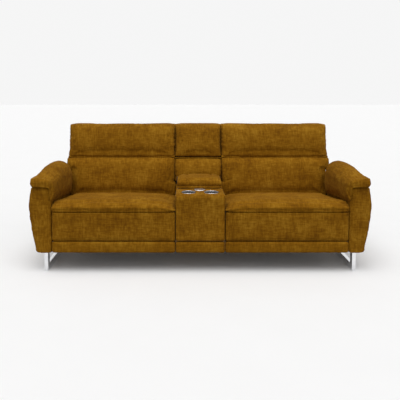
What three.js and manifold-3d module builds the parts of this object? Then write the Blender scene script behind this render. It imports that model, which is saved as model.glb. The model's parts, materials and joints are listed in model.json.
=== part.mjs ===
// Two-seat reclining sofa with a fixed centre console. Millimetres, +Z up, the front faces -Y.
// The origin is on the floor, below the middle of the whole sofa.
import * as THREE from 'three';
import { mergeVertices } from 'three/addons/utils/BufferGeometryUtils.js';
import Module from 'manifold-3d';

const wasm = await Module();
wasm.setup();

// Driving dimensions of the whole sofa
const sofa = {
  seatWidth: 805, // clear width of one seat between arm and console
  consoleWidth: 322,
  front: -433, // face of the front panels
  underside: 133, // bottom of the upholstered body above the floor
  railTop: 205, // top of the front valance rails
  armTop: 570,
  rear: 262, // rear end of the fixed base and arms
};
const fit = {
  seam: 3, // visible gap between neighbouring upholstered pieces
  touch: 0.4, // gap left between pieces that rest on each other
  running: 0.6, // radial play of a pin in its hole
  sideGap: 1.5, // side play between turning plates
  overrun: 2, // how far a cutting tool runs past the face it cuts
};
const consoleSide = sofa.consoleWidth / 2;
const seatCentre = consoleSide + fit.seam + sofa.seatWidth / 2;
const seatHalf = sofa.seatWidth / 2;
const armInner = seatCentre + seatHalf + fit.seam;
const frameHalf = seatHalf + fit.seam - fit.touch; // the base frame fills its bay between arm and console

// Named materials, one for each kind of finish
const looks = {
  upholstery: { color: 0x7a5314, roughness: 0.95, metalness: 0 },
  wood: { color: 0xb08a5a, roughness: 0.8, metalness: 0 },
  blackSteel: { color: 0x26272a, roughness: 0.5, metalness: 0.7 },
  zincSteel: { color: 0x8f9194, roughness: 0.4, metalness: 0.9 },
  chrome: { color: 0xc9ccd0, roughness: 0.12, metalness: 1 },
  satinSteel: { color: 0xb9bbbe, roughness: 0.3, metalness: 1 },
  blackPlastic: { color: 0x1b1b1d, roughness: 0.55, metalness: 0 },
};

const model = new THREE.Group();

// Puts a geometry into a group as a named mesh with a material of its own
function place(group, name, geometry, look) {
  const mesh = new THREE.Mesh(geometry, new THREE.MeshStandardMaterial(looks[look]));
  mesh.name = name;
  group.add(mesh);
  return mesh;
}

// Leaves only merged positions, so that shared corners are one vertex
function welded(geometry) {
  const bare = geometry.clone();
  bare.deleteAttribute('normal');
  bare.deleteAttribute('uv');
  return mergeVertices(bare);
}

function toSolid(geometry) {
  const bare = welded(geometry);
  return new wasm.Manifold(new wasm.Mesh({
    numProp: 3,
    vertProperties: new Float32Array(bare.attributes.position.array),
    triVerts: new Uint32Array(bare.index.array),
  }));
}

function toGeometry(solid) {
  const mesh = solid.getMesh();
  const geometry = new THREE.BufferGeometry();
  geometry.setAttribute('position', new THREE.BufferAttribute(mesh.vertProperties, mesh.numProp));
  geometry.setIndex(new THREE.BufferAttribute(mesh.triVerts, 1));
  geometry.computeVertexNormals();
  return geometry;
}

function join(...geometries) {
  return toGeometry(geometries.map(toSolid).reduce((whole, piece) => whole.add(piece)));
}

function cut(geometry, ...tools) {
  return toGeometry(tools.map(toSolid).reduce((whole, tool) => whole.subtract(tool), toSolid(geometry)));
}

function box(x0, x1, y0, y1, z0, z1) {
  const geometry = new THREE.BoxGeometry(Math.abs(x1 - x0), Math.abs(y1 - y0), Math.abs(z1 - z0));
  return geometry.translate((x0 + x1) / 2, (y0 + y1) / 2, (z0 + z1) / 2);
}

// A round bar from x0 to x1, with its axis along X through (y, z)
function barX(y, z, radius, x0, x1, sides = 12) {
  const geometry = new THREE.CylinderGeometry(radius, radius, Math.abs(x1 - x0), sides);
  return geometry.rotateZ(Math.PI / 2).translate((x0 + x1) / 2, y, z);
}

// A round bar from y0 to y1, with its axis along Y through (x, z)
function barY(x, z, radius, y0, y1, sides = 16) {
  const geometry = new THREE.CylinderGeometry(radius, radius, Math.abs(y1 - y0), sides);
  return geometry.translate(0, (y0 + y1) / 2, 0).translate(x, 0, z);
}

// An upright round bar from z0 to z1, with its axis through (x, y)
const roundSides = 16;
function barZ(x, y, radius, z0, z1) {
  const geometry = new THREE.CylinderGeometry(radius, radius, z1 - z0, roundSides);
  return geometry.rotateX(Math.PI / 2).translate(x, y, (z0 + z1) / 2);
}

// A solid turned about the Z axis from (radius, height) points
function turned(profile) {
  const points = profile.map(([r, z]) => new THREE.Vector2(r, z));
  return new THREE.LatheGeometry(points, roundSides).rotateX(Math.PI / 2);
}

// A flat plate between x0 and x1, whose outline is a Shape drawn in (y, z)
function plateX(shape, x0, x1, curveSegments = 4) {
  const depth = Math.abs(x1 - x0);
  const geometry = new THREE.ExtrudeGeometry(shape, { depth, bevelEnabled: false, curveSegments });
  // turns the drawing so that its x, y and depth run along Y, Z and X
  geometry.applyMatrix4(new THREE.Matrix4().set(0, 0, 1, 0, 1, 0, 0, 0, 0, 1, 0, 0, 0, 0, 0, 1));
  return geometry.translate(Math.min(x0, x1), 0, 0);
}

// A round hole whose flats, not its corners, lie at the radius
const holeSides = 12;
function hole(shape, y, z, radius) {
  const path = new THREE.Path();
  const reach = radius / Math.cos(Math.PI / holeSides);
  for (let k = 0; k < holeSides; k += 1) {
    const angle = (-2 * Math.PI * k) / holeSides;
    path[k ? 'lineTo' : 'moveTo'](y + reach * Math.cos(angle), z + reach * Math.sin(angle));
  }
  path.closePath();
  shape.holes.push(path);
}

// A link bar with round ends about (y0, z0) and (y1, z1)
function linkShape(y0, z0, y1, z1, radius) {
  const along = Math.atan2(z1 - z0, y1 - y0);
  const shape = new THREE.Shape();
  shape.absarc(y0, z0, radius, along + Math.PI / 2, along - Math.PI / 2, false);
  shape.absarc(y1, z1, radius, along - Math.PI / 2, along + Math.PI / 2, false);
  shape.closePath();
  return shape;
}

// Closed skin through rings of equal point counts. Each end closes to the middle of its hub points.
function loft(rings, hub = [...rings[0].keys()]) {
  const count = rings[0].length;
  const points = rings.flat();
  const faces = [];
  for (let r = 0; r + 1 < rings.length; r += 1) {
    for (let i = 0; i < count; i += 1) {
      const a = r * count + i;
      const b = r * count + ((i + 1) % count);
      faces.push(a, b, b + count, a, b + count, a + count);
    }
  }
  for (const [r, flip] of [[0, true], [rings.length - 1, false]]) {
    const middle = new THREE.Vector3();
    hub.forEach((i) => middle.addScaledVector(rings[r][i], 1 / hub.length));
    points.push(middle);
    for (let i = 0; i < count; i += 1) {
      const a = r * count + i;
      const b = r * count + ((i + 1) % count);
      faces.push(...(flip ? [points.length - 1, b, a] : [points.length - 1, a, b]));
    }
  }
  let volume = 0;
  for (let i = 0; i < faces.length; i += 3) {
    const [a, b, c] = [points[faces[i]], points[faces[i + 1]], points[faces[i + 2]]];
    volume += new THREE.Vector3().crossVectors(a, b).dot(c);
  }
  if (volume < 0) {
    for (let i = 0; i < faces.length; i += 3) {
      [faces[i], faces[i + 1]] = [faces[i + 1], faces[i]];
    }
  }
  const geometry = new THREE.BufferGeometry();
  geometry.setAttribute('position', new THREE.Float32BufferAttribute(points.flatMap((p) => p.toArray()), 3));
  geometry.setIndex(faces);
  geometry.computeVertexNormals();
  return geometry;
}

// Points (u, v) round a rounded rectangle. Each side may swell by its bulge: [u0, u1, v0, v1].
const ringCorner = { steps: 2, sidePoints: 2 }; // points on each corner and along each side
function ring(u0, u1, v0, v1, radius, bulge = [0, 0, 0, 0]) {
  const r = Math.min(radius, (u1 - u0) / 2.01, (v1 - v0) / 2.01);
  const corners = [
    [u1 - r, v0 + r, -Math.PI / 2],
    [u1 - r, v1 - r, 0],
    [u0 + r, v1 - r, Math.PI / 2],
    [u0 + r, v0 + r, Math.PI],
  ];
  const flat = [];
  corners.forEach(([cu, cv, start], k) => {
    for (let s = 0; s <= ringCorner.steps; s += 1) {
      const angle = start + (s / ringCorner.steps) * (Math.PI / 2);
      flat.push([cu + r * Math.cos(angle), cv + r * Math.sin(angle)]);
    }
    const [nu, nv, next] = corners[(k + 1) % corners.length];
    const to = [nu + r * Math.cos(next), nv + r * Math.sin(next)];
    const from = flat[flat.length - 1];
    for (let s = 1; s <= ringCorner.sidePoints; s += 1) {
      const t = s / (ringCorner.sidePoints + 1);
      flat.push([from[0] + (to[0] - from[0]) * t, from[1] + (to[1] - from[1]) * t]);
    }
  });
  const middleU = (u0 + u1) / 2;
  const middleV = (v0 + v1) / 2;
  return flat.map(([u, v]) => {
    const su = (u - middleU) / (u1 - u0) * 2; // -1 to 1 across the ring
    const sv = (v - middleV) / (v1 - v0) * 2;
    const du = su < 0 ? -bulge[0] * su * su : bulge[1] * su * su;
    const dv = sv < 0 ? -bulge[2] * sv * sv : bulge[3] * sv * sv;
    return [u + du * (1 - sv * sv), v + dv * (1 - su * su)];
  });
}

// How far a rounded edge is drawn in at a share t of its radius, as a quarter circle
const drawIn = (t, radius) => radius * (1 - Math.sqrt(Math.max(0, 1 - (1 - t) ** 2)));

// Arms: an upholstered box with a bulging outer side, and a soft pad lapped over its top
const arm = {
  top: 126, // how far it reaches outward at the top, at its widest and at the foot
  wide: 147,
  foot: 90,
  wideShare: 0.72, // height of its widest place
  frontRound: 26,
  edgeRound: 22,
};
const armShares = {
  depth: [0, 0.35, 1], // stations along the front rounding
  rise: [0, 0.18, 0.36, 0.54, 0.72, 0.88, 1],
};
function armReach(share) {
  if (share < arm.wideShare) {
    return arm.foot + (arm.wide - arm.foot) * Math.sin((share / arm.wideShare) * (Math.PI / 2));
  }
  return arm.wide + (arm.top - arm.wide) * ((share - arm.wideShare) / (1 - arm.wideShare));
}
function armBox(side) {
  const stations = armShares.depth.map((t) => [sofa.front + t * arm.frontRound, drawIn(t, arm.frontRound)]);
  stations.push([sofa.rear - arm.frontRound / 2, 0], [sofa.rear, arm.frontRound / 3]);
  const rings = stations.map(([y, inset]) => {
    const outline = armShares.rise.map((share) => {
      const z = sofa.underside + share * (sofa.armTop - sofa.underside);
      return share === 1
        ? [armReach(share) - inset - arm.edgeRound / 3, z - inset / 2]
        : [armReach(share) - inset, z];
    });
    outline.push([inset / 2, sofa.armTop - inset / 2], [inset / 2, sofa.underside]);
    return outline.map(([x, z]) => new THREE.Vector3(side * (armInner + x), y, z));
  });
  return loft(rings);
}

const armPad = {
  front: -445, rear: 96, outer: 133, endRound: 30,
  frontThick: 48, thick: 104, // above the arm, at the front and where it is fullest
  flap: 36, flapFront: 458, flapRear: 424, // the inner flap's thickness, and the height of its foot
};
const armPadShares = {
  length: [0, 0.03, 0.1, 0.25, 0.5, 0.75, 0.9, 0.97, 1],
  full: 0.8, // place along the pad of its full thickness
  flapStart: 0.15,
  outside: [[0.915, 0], [1, 0.2], [1, 0.5], [0.85, 0.86], [0.5, 1], [0.2, 0.96]], // of reach and height
  lap: [[0.55, 0.72], [1, 0.2]], // of the flap's thickness and the height
  hanging: [[1, 0.4], [0.7, 0.85], [0.3, 1], [0, 0.94]], // of the flap's thickness and its drop
};
const quarterSine = (share) => Math.sin(Math.min(1, share) * (Math.PI / 2));
function armPadShape(side) {
  const floor = sofa.armTop + fit.touch;
  const length = armPad.rear - armPad.front;
  const rings = armPadShares.length.map((t) => {
    const end = Math.min(t, 1 - t) * length;
    const inset = drawIn(Math.min(1, end / armPad.endRound), armPad.endRound / 2);
    const rise = (armPad.thick - armPad.frontThick) * quarterSine(t / armPadShares.full);
    const height = Math.max(armPad.frontThick / 3, armPad.frontThick + rise - inset);
    const flap = Math.max(armPad.flap / 6, armPad.flap * quarterSine(armPadShares.flapStart + t) - inset / 2);
    const outer = armPad.outer - inset / 2;
    const drop = floor - (armPad.flapFront + (armPad.flapRear - armPad.flapFront) * t + inset);
    const outline = [
      ...armPadShares.outside.map(([across, up]) => [outer * across, floor + height * up]),
      ...armPadShares.lap.map(([across, up]) => [-flap * across, floor + height * up]),
      ...armPadShares.hanging.map(([across, down]) => [-flap * across - fit.touch, floor - drop * down]),
      [-fit.touch, floor],
    ];
    return outline.map(([x, z]) => new THREE.Vector3(side * (armInner + x), armPad.front + t * length, z));
  });
  const lapFoot = armPadShares.outside.length + armPadShares.lap.length - 1;
  return loft(rings, [lapFoot, rings[0].length - 1]); // the ends close at the root of the flap
}

// Seat cushion: side profile with a round front roll, thinner towards the back, crowned across
const cushion = {
  front: -438, rear: 92, under: 406, noseTop: 470, rearTop: 420, noseRound: 26,
  crown: 10, sideDrop: 16, // rise in the middle, and fall towards the sides
  endRound: 40,
  slopePower: 1.3, // how late the top falls towards the back
};
const cushionShares = {
  width: [0, 0.02, 0.06, 0.16, 0.35, 0.5, 0.65, 0.84, 0.94, 0.98, 1],
  noseFoot: [[0.7, 0], [0.15, 0.35], [0, 1]], // of the front roll's radius, in from the front and up
  noseTop: [[0.25, 1], [0.9, 0.3]], // in from the front and down
  top: [0.1, 0.25, 0.5, 0.75],
  rear: [[0.5, 0], [0, 0.4]], // in from the rear and down
};
function seatCushion() {
  const half = seatHalf - fit.seam / 2;
  const r = cushion.noseRound;
  const rings = cushionShares.width.map((t) => {
    const end = Math.min(t, 1 - t) * 2 * half;
    const inset = drawIn(Math.min(1, end / cushion.endRound), cushion.endRound / 2);
    const crown = cushion.crown - cushion.sideDrop * Math.abs(2 * t - 1) ** 3 - inset * 0.7;
    const y0 = cushion.front + inset * 0.4;
    const y1 = cushion.rear - inset * 0.2;
    const z0 = cushion.under + inset * 0.35;
    const fall = cushion.rearTop - cushion.noseTop;
    const top = (share) => cushion.noseTop + fall * share ** cushion.slopePower + crown;
    const outline = [
      ...cushionShares.noseFoot.map(([into, up]) => [y0 + r * into, z0 + r * up]),
      ...cushionShares.noseTop.map(([into, down]) => [y0 + r * into, top(0) - r * down]),
      ...cushionShares.top.map((share) => [y0 + (y1 - y0) * share, top(share)]),
      ...cushionShares.rear.map(([into, down]) => [y1 - r * into, top(1) - r * down]),
      [y1, z0], [(y0 + y1) / 2, z0],
    ];
    return outline.map(([y, z]) => new THREE.Vector3(-half + 2 * half * t, y, Math.max(z, z0)));
  });
  return loft(rings);
}

// Seat springs: four rails and zigzag wires between the front and rear rail
const springs = {
  rail: 20, high: 17, front: -380, rear: 84, inset: 30,
  wires: 5, waves: 7, swing: 34, wire: 2.2, // zigzag wires, their half waves, swing and radius
};
const springTop = cushion.under - fit.touch;
function seatSprings() {
  const half = seatHalf - springs.inset;
  const z0 = springTop - springs.high;
  const outer = box(-half, half, springs.front, springs.rear, z0, springTop);
  const { rail } = springs;
  const over = fit.overrun;
  const opening = half - rail;
  const [hollowFront, hollowRear] = [springs.front + rail, springs.rear - rail];
  let frame = cut(outer, box(-opening, opening, hollowFront, hollowRear, z0 - over, springTop + over));
  const pitch = (2 * opening) / springs.wires;
  const z = springTop - springs.high / 2;
  const from = springs.front + rail / 2;
  const to = springs.rear - rail / 2;
  for (let w = 0; w < springs.wires; w += 1) {
    const x = -half + rail + pitch * (w + 0.5);
    const turns = [];
    for (let k = 0; k <= springs.waves; k += 1) {
      const swing = k === 0 || k === springs.waves ? 0 : (k % 2 ? 1 : -1) * springs.swing;
      turns.push(new THREE.Vector3(x + swing, from + ((to - from) * k) / springs.waves, z));
    }
    const wave = new THREE.CatmullRomCurve3(turns);
    const section = new THREE.Shape();
    section.absarc(0, 0, springs.wire, 0, 2 * Math.PI);
    const along = { steps: springs.waves * 2, extrudePath: wave, curveSegments: 2 };
    frame = join(frame, new THREE.ExtrudeGeometry(section, along));
  }
  return frame;
}

// Base frame of one seat: two side rails, a front rail and a taller rear board
const frameSize = { rail: 22, under: 140, railTop: 200, boardTop: 280, front: -400 };
function baseFrame() {
  const half = frameHalf;
  const { rail, under, railTop, front } = frameSize;
  const pieces = [
    box(-half, -half + rail, front, sofa.rear, under, railTop),
    box(half - rail, half, front, sofa.rear, under, railTop),
    box(-half, half, front, front + rail, under, railTop),
    box(-half, half, sofa.rear - rail, sofa.rear, under, frameSize.boardTop),
  ];
  return join(...pieces);
}

// Soft-edged front panel across X, used for the valance rails, the console front and the footrest
const panelShares = [0, 0.015, 0.06, 0.3, 0.7, 0.94, 0.985, 1];
function frontPanel({ half, front, rear, under, top, round, bulge }) {
  const rings = panelShares.map((t) => {
    const x = -half + 2 * half * t;
    const end = Math.min(t, 1 - t) * 2 * half;
    const inset = drawIn(Math.min(1, end / round), round * 0.6);
    const swell = bulge * (1 - Math.abs(2 * t - 1) ** 2);
    const outline = [
      [rear, under + inset], [front + round * 0.5 + inset, under + inset * 0.6],
      [front + inset, under + round * 0.6], [front - swell + inset, (under + top) / 2],
      [front + inset, top - round * 0.6], [front + round * 0.5 + inset, top - inset * 0.6],
      [rear, top - inset],
    ];
    return outline.map(([y, z]) => new THREE.Vector3(x, y, z));
  });
  return loft(rings);
}
const valance = { round: 12, bulge: 1 };
function valanceRail(half) {
  return frontPanel({
    half, front: sofa.front, rear: frameSize.front - fit.touch, under: sofa.underside, top: sofa.railTop,
    round: valance.round, bulge: valance.bulge,
  });
}

// Backs. Each is a leaning shell with a lumbar cushion and a headrest cushion in front of it.
const backSide = {
  centreGap: 16.5, armGap: 6, // clearances beside the console and the arm
  lapStart: 615, headLap: 15, lumbarLap: 28, // height where the pieces widen over the arm, and how far
};
const back = {
  inner: consoleSide + backSide.centreGap, outer: armInner - backSide.armGap, // distances from the middle
  headOuter: armInner + backSide.headLap, lumbarOuter: armInner + backSide.lumbarLap,
  shellFoot: 380, shellTop: 860, shellThick: 90, shellRear: 350, shellRearHeight: 300, shellLean: 0.1786,
  seatLine: 430, seatLineDepth: 105, frontLean: 0.208, belly: 12,
  lumbarFoot: 410, lumbarTop: 680, headFoot: 700, headTop: 938, headDepth: 168, headLean: 0.19,
  edgeRound: 30, topRound: 36, footRound: 14, sideBulge: 5, hardware: 6, steel: 4,
};
const centreBack = { half: back.inner - fit.seam, foot: 506 };
const shellRearAt = (z) => back.shellRear + (z - back.shellRearHeight) * back.shellLean;
const shellFrontAt = (z) => shellRearAt(z) - back.shellThick;
const toLocal = (side, x) => side * (x - seatCentre);

// Rings up the height of a cushion or shell; widthAt, frontAt and rearAt give its sides at a height
function uprightPiece({ foot, top, footRound, topRound, edge, shares, widthAt, frontAt, rearAt, bulge }) {
  const rings = shares.map((t) => {
    const z = foot + t * (top - foot);
    const fromFoot = drawIn(Math.min(1, (z - foot) / footRound), footRound * 0.6);
    const fromTop = drawIn(Math.min(1, (top - z) / topRound), topRound * 0.6);
    const inset = Math.max(fromFoot, fromTop);
    const [x0, x1] = widthAt(z);
    const outline = ring(
      Math.min(x0, x1) + inset * 0.5, Math.max(x0, x1) - inset * 0.5,
      frontAt(z, t) + inset, rearAt(z) - inset * 0.4, edge, bulge,
    );
    return outline.map(([x, y]) => new THREE.Vector3(x, y, z));
  });
  return loft(rings);
}
const uprightShares = {
  cushion: [0, 0.03, 0.1, 0.33, 0.345, 0.52, 0.7, 0.76, 0.9, 0.97, 1],
  shell: [0, 0.04, 0.47, 0.5, 0.94, 1],
};
// The sides of one seat's back at a height. It narrows beside the centre back, and widens above the arms.
function sideWidth(side, outerAbove) {
  return (z) => [
    toLocal(side, z < centreBack.foot - fit.seam * 2 ? consoleSide + fit.seam : back.inner),
    toLocal(side, z > backSide.lapStart ? outerAbove : back.outer),
  ];
}
function cushionFront(z, t, foot, depth, lean) {
  return depth + (z - foot) * lean - back.belly * Math.sin(Math.PI * t);
}
const cushionRounds = { footRound: back.footRound, topRound: back.topRound, edge: back.edgeRound };
function lumbarShape(widthAt, foot, gap) {
  return uprightPiece({
    ...cushionRounds, foot, top: back.lumbarTop, shares: uprightShares.cushion, widthAt,
    bulge: [0, 0, back.sideBulge, 0],
    frontAt: (z, t) => cushionFront(z, t, back.seatLine, back.seatLineDepth, back.frontLean),
    rearAt: (z) => shellFrontAt(z) - gap,
  });
}
function headrestShape(widthAt, foot, gap) {
  return uprightPiece({
    ...cushionRounds, foot, top: back.headTop, shares: uprightShares.cushion, widthAt,
    bulge: [0, 0, back.sideBulge, 0],
    frontAt: (z, t) => cushionFront(z, t, back.headFoot, back.headDepth, back.headLean),
    rearAt: (z) => shellFrontAt(z) - gap,
  });
}
function shellShape(widthAt, foot) {
  return uprightPiece({
    foot, top: back.shellTop, footRound: back.edgeRound / 2, topRound: back.edgeRound, edge: back.edgeRound,
    shares: uprightShares.shell, widthAt, bulge: [0, 0, 0, 0],
    frontAt: (z) => shellFrontAt(z), rearAt: (z) => shellRearAt(z),
  });
}

// Recliner mechanism: two side plates with a rear cross tube, and the recline hinge pins
const mechInset = 62.5; // from the seat's side to the middle of the side plate
const mech = {
  plate: seatHalf - mechInset, thick: 5, flangeThick: 4.6, front: -330, rear: 159, lug: 22,
  foot: frameSize.railTop + fit.touch,
  top: springTop - springs.high - fit.touch,
};
const recline = { y: 135, z: 340, pin: 8, ear: 6, earRadius: 20 };
const crossTube = { y: 100, z: 326, radius: 12 };
const footrest = {
  pivotY: -300, pivotZ: 372, link: 170, armTilt: 10, linkTilt: 15, // tilts in degrees at rest
  bar: 14, barThick: 5, tube: 10, pin: 6, brace: 7, crank: 60, crankThick: 8, opening: 80,
};
const degrees = Math.PI / 180;
const kneeY = footrest.pivotY - footrest.link * Math.sin(footrest.armTilt * degrees);
const kneeZ = footrest.pivotZ - footrest.link * Math.cos(footrest.armTilt * degrees);
const toeY = kneeY - footrest.link * Math.sin(footrest.linkTilt * degrees);
const toeZ = kneeZ + footrest.link * Math.cos(footrest.linkTilt * degrees);
const plateInside = mech.plate - mech.thick / 2;
const armBar = plateInside - fit.sideGap * 4 - footrest.barThick; // inner face of the swinging arm's bar
const linkBar = armBar - fit.sideGap * 2 - footrest.barThick;
const toeLug = linkBar - fit.sideGap * 2 - footrest.barThick;

function mechanismFrame() {
  const { plate, thick, foot, top, front, rear, lug } = mech;
  const pieces = [];
  for (const hand of [-1, 1]) {
    const shape = new THREE.Shape();
    shape.moveTo(front, foot);
    shape.lineTo(rear, foot);
    shape.lineTo(rear, recline.z + lug / 2);
    shape.lineTo(recline.y - lug, top);
    shape.lineTo(footrest.pivotY - lug, top);
    shape.lineTo(front, footrest.pivotZ - lug);
    shape.closePath();
    hole(shape, footrest.pivotY, footrest.pivotZ, footrest.tube + fit.running);
    const x0 = hand * (plate - thick / 2);
    const x1 = hand * (plate + thick / 2);
    pieces.push(plateX(shape, x0, x1));
    pieces.push(box(x0, hand * frameHalf, front, rear, foot, foot + mech.flangeThick));
    const pinEnd = hand * (plate + thick / 2 + 2 * fit.sideGap + recline.ear);
    pieces.push(barX(recline.y, recline.z, recline.pin, x0, pinEnd));
  }
  pieces.push(barX(crossTube.y, crossTube.z, crossTube.radius, -plate, plate));
  return join(...pieces);
}

const shellWidth = (side) => (z) => [toLocal(side, back.inner), sideWidth(side, back.headOuter)(z)[1]];
function backShell(side) {
  let shell = shellShape(shellWidth(side), back.shellFoot);
  const inner = mech.plate + mech.thick / 2 + fit.sideGap;
  for (const hand of [-1, 1]) {
    const endY = shellRearAt(back.shellFoot) - back.shellThick / 2;
    const ear = linkShape(recline.y, recline.z, endY, back.shellFoot + recline.earRadius, recline.earRadius);
    hole(ear, recline.y, recline.z, recline.pin + fit.running);
    shell = join(shell, plateX(ear, hand * inner, hand * (inner + recline.ear)));
  }
  return shell;
}

// Headrest hinge: a rod held in front of the shell, and a steel frame that swings on it
const headHinge = {
  y: 190, z: 690, rod: 5, collar: 8.5, collarWide: 24, armAt: 220, strapAt: 250, strapWide: 24,
  plateInset: 60, plateTop: 900, flangeFoot: 620,
};
// A slab that leans with the shell, standing off its front by gap
function leaningSlab(x0, x1, z0, z1, gap, thick) {
  const shape = new THREE.Shape();
  shape.moveTo(shellFrontAt(z0) - gap - thick, z0);
  shape.lineTo(shellFrontAt(z0) - gap, z0);
  shape.lineTo(shellFrontAt(z1) - gap, z1);
  shape.lineTo(shellFrontAt(z1) - gap - thick, z1);
  shape.closePath();
  return plateX(shape, x0, x1);
}
function headrestShaft() {
  const { y, z, rod, strapAt, strapWide, flangeFoot } = headHinge;
  const half = back.steel / 2;
  const pieces = [barX(y, z, rod, -strapAt - strapWide, strapAt + strapWide)];
  for (const hand of [-1, 1]) {
    const x0 = hand * strapAt;
    const x1 = hand * (strapAt + strapWide);
    const rearEdge = shellFrontAt(z) - fit.touch - half;
    pieces.push(box(x0, x1, y, rearEdge, z - half, z + half));
    pieces.push(leaningSlab(Math.min(x0, x1), Math.max(x0, x1), flangeFoot, z + half, fit.touch, back.steel));
  }
  return join(...pieces);
}
function headrestFrame() {
  const { y, z, rod, collar, collarWide, armAt, plateInset, plateTop } = headHinge;
  const half = back.steel / 2;
  const wide = seatHalf - plateInset;
  const standOff = back.hardware - back.steel;
  const pieces = [leaningSlab(-wide, wide, z + collar, plateTop, standOff, back.steel)];
  for (const hand of [-1, 1]) {
    const x0 = hand * armAt - collarWide / 2;
    pieces.push(box(x0, x0 + collarWide, y, shellFrontAt(z) - standOff - half, z - half, z + half));
    pieces.push(leaningSlab(x0, x0 + collarWide, z - half, z + collar + fit.overrun, standOff, back.steel));
    pieces.push(barX(y, z, collar, x0, x0 + collarWide));
  }
  return cut(join(...pieces), barX(y, z, rod + fit.running, -wide, wide));
}

// Footrest: swinging arms on a drive tube, upper links, and the padded board
function rotatedGroup(y, z, angle) {
  const group = new THREE.Group();
  group.position.set(0, y, z);
  group.rotation.x = angle;
  return group;
}
function footrestArm() {
  const { link, bar, barThick, tube, pin, crank, crankThick } = footrest;
  const pieces = [barX(0, 0, tube, -plateInside - mech.thick, plateInside + mech.thick)];
  for (const hand of [-1, 1]) {
    const x0 = hand * armBar;
    pieces.push(plateX(linkShape(0, 0, 0, -link, bar), x0, hand * (armBar + barThick)));
    pieces.push(barX(0, -link, pin, hand * linkBar, hand * (armBar + barThick), 12));
  }
  const crankAngle = (footrest.opening / 2 + footrest.armTilt) * degrees;
  const crankShape = linkShape(0, 0, crank * Math.sin(crankAngle), -crank * Math.cos(crankAngle), bar);
  pieces.push(plateX(crankShape, -crankThick / 2, crankThick / 2));
  return join(...pieces);
}
function footrestLink() {
  const { link, bar, barThick, pin, brace } = footrest;
  const pieces = [barX(0, link / 2, brace, -linkBar - barThick, linkBar + barThick, 12)];
  for (const hand of [-1, 1]) {
    const shape = linkShape(0, 0, 0, link, bar);
    hole(shape, 0, 0, pin + fit.running);
    pieces.push(plateX(shape, hand * linkBar, hand * (linkBar + barThick)));
    pieces.push(barX(0, link, pin, hand * toeLug, hand * (linkBar + barThick), 12));
  }
  return join(...pieces);
}
const footPanel = {
  boardThick: 15, padThick: 30, under: 211, top: 402, round: 14, bulge: 3, lug: 16,
  inset: 6, // between the pad's edge and the seat's side, and between the board's edge and the pad's
};
const boardFront = sofa.front + footPanel.padThick + fit.touch;
const boardRear = boardFront + footPanel.boardThick;
function footrestBoard() {
  const half = seatHalf - footPanel.inset;
  const { under, top, inset, lug } = footPanel;
  const pieces = [box(-half + inset, half - inset, boardFront, boardRear, under + inset, top - inset)];
  for (const hand of [-1, 1]) {
    const shape = new THREE.Shape();
    shape.moveTo(boardRear - fit.overrun, toeZ - lug);
    shape.absarc(toeY, toeZ, lug, -Math.PI / 2, Math.PI / 2, false);
    shape.lineTo(boardRear - fit.overrun, toeZ + lug);
    shape.closePath();
    hole(shape, toeY, toeZ, footrest.pin + fit.running);
    pieces.push(plateX(shape, hand * toeLug, hand * (toeLug + footrest.barThick)));
  }
  return join(...pieces);
}
function footrestPad() {
  return frontPanel({
    half: seatHalf - footPanel.inset, front: sofa.front, rear: boardFront - fit.touch,
    under: footPanel.under, top: footPanel.top, round: footPanel.round, bulge: footPanel.bulge,
  });
}

// Linear actuator of the footrest: a housing on the cross tube, and a rod that pushes the crank
const actuator = {
  body: 21, front: -205, rear: 60, bore: 10, boreDepth: 190,
  rod: 9, rodRear: -40, motor: 22, motorLong: 95, block: 16,
};
const crankY = footrest.pivotY + footrest.crank * Math.sin((footrest.opening / 2) * degrees);
const crankZ = footrest.pivotZ - footrest.crank * Math.cos((footrest.opening / 2) * degrees);
const rodX = footrest.crankThick / 2 + fit.sideGap + actuator.rod;
function actuatorHousing() {
  const { body, front, rear, bore, boreDepth, motor, motorLong, block } = actuator;
  const { y: tubeY, z: tubeZ } = crossTube;
  const tail = box(rodX - block, rodX + block, rear - block, tubeY + block, tubeZ - block, tubeZ + block);
  const motorCan = new THREE.CylinderGeometry(motor, motor, motorLong, 14).rotateX(Math.PI / 2);
  motorCan.translate(rodX, rear - motor, crankZ - motorLong / 2);
  const whole = join(barY(rodX, crankZ, body, front, rear), tail, motorCan);
  return cut(
    whole,
    barY(rodX, crankZ, bore, front - fit.overrun, front + boreDepth),
    barX(tubeY, tubeZ, crossTube.radius + fit.touch, rodX - 2 * block, rodX + 2 * block),
  );
}
function actuatorRod() {
  const { rod, rodRear } = actuator;
  const eye = barX(crankY, crankZ, footrest.bar, rodX - rod, rodX + rod, 14);
  return join(barY(rodX, crankZ, rod, crankY, rodRear, 14), eye);
}

// Centre console: carcass, front pad, deck with cup holders and charging disc, and the armrest lid
const consoleFrame = {
  wall: 16, front: frameSize.front, top: 505.6, floorUnder: 284, floorTop: 300, wellFloor: 330,
  cupRear: -206, wellFront: -190, wellRear: 45, shaftFront: 75, backCavityTop: 489,
};
function consoleBody() {
  const { wall, front, top, floorUnder, floorTop, wellFloor } = consoleFrame;
  const { cupRear, wellFront, wellRear, shaftFront, backCavityTop } = consoleFrame;
  const inside = consoleSide - wall;
  const over = fit.overrun;
  const whole = box(-consoleSide, consoleSide, front, sofa.rear, sofa.underside, top);
  const pockets = [-1, 1].map((side) => box(
    side * controls.pocketFloor, side * (consoleSide + over),
    controls.front - fit.touch, controls.front + controls.long + fit.touch,
    bezelFoot - fit.touch, bezelFoot + controls.high + fit.touch,
  ));
  return cut(
    whole,
    box(-inside, inside, front + wall, cupRear, floorTop, top + over),
    box(-inside, inside, wellFront, wellRear, wellFloor, top + over),
    box(-inside, inside, front + wall, wellRear, sofa.underside - over, floorUnder),
    box(-inside, inside, shaftFront, sofa.rear - wall, sofa.underside - over, backCavityTop),
    ...pockets,
  );
}
const cups = { x: 76, y: -335, inner: 44, wall: 1.5, flange: 49, lip: 2.5, depth: 68, play: 0.5 };
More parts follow.
